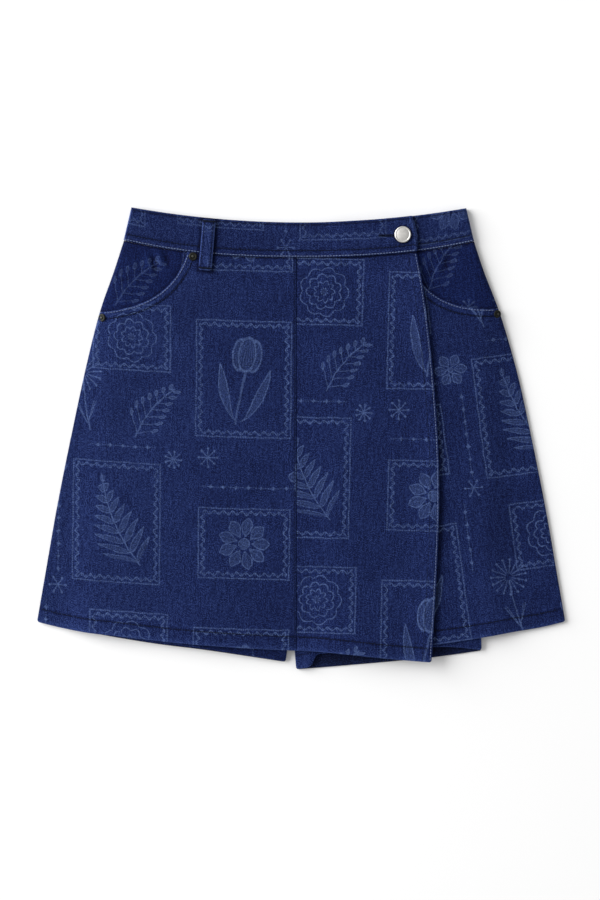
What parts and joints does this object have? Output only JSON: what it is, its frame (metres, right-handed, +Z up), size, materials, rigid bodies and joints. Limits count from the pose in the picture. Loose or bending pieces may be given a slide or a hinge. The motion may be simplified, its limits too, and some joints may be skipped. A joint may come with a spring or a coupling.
{
  "type": "wrap-front denim skort",
  "caption": "Denim wrap-front skort laid flat, with a curved waistband, a buttoned wrap over an underlap, curved front pockets, a belt loop and short legs under it.",
  "frame": {"origin": "on the surface that the skort lies on, under the middle of its outline", "axes": "+X to the right across the garment as seen from above, +Y towards the waistband, +Z up off the surface"},
  "size_m": [0.546, 0.4775, 0.0146],
  "materials": {
    "denim": "printed indigo twill denim, soft and matt",
    "denim_inside": "inner face of the indigo twill denim",
    "denim_band": "indigo twill denim, doubled and stitched",
    "thread": "blue-grey and dark sewing thread",
    "nickel": "plain satin nickel, no design",
    "dark_brass": "dark antique brass, worn on its high spots"
  },
  "bodies": {
    "root": {"back_panel": "denim", "shorts_left_back": "denim_inside", "shorts_left_front": "denim", "shorts_right_back": "denim_inside", "shorts_right_front": "denim", "pocket_facing_left": "denim", "pocket_facing_right": "denim", "front_left_panel": "denim", "front_right_panel": "denim", "wrap_front_panel": "denim", "waistband_back": "denim_band", "waistband_underlap": "denim_band", "waistband_front": "denim_band", "belt_loop": "denim_band", "button": "nickel", "rivet_pocket_top_left": "dark_brass", "rivet_pocket_side_left": "dark_brass", "rivet_pocket_side_right": "dark_brass"}
  },
  "joints": []
}
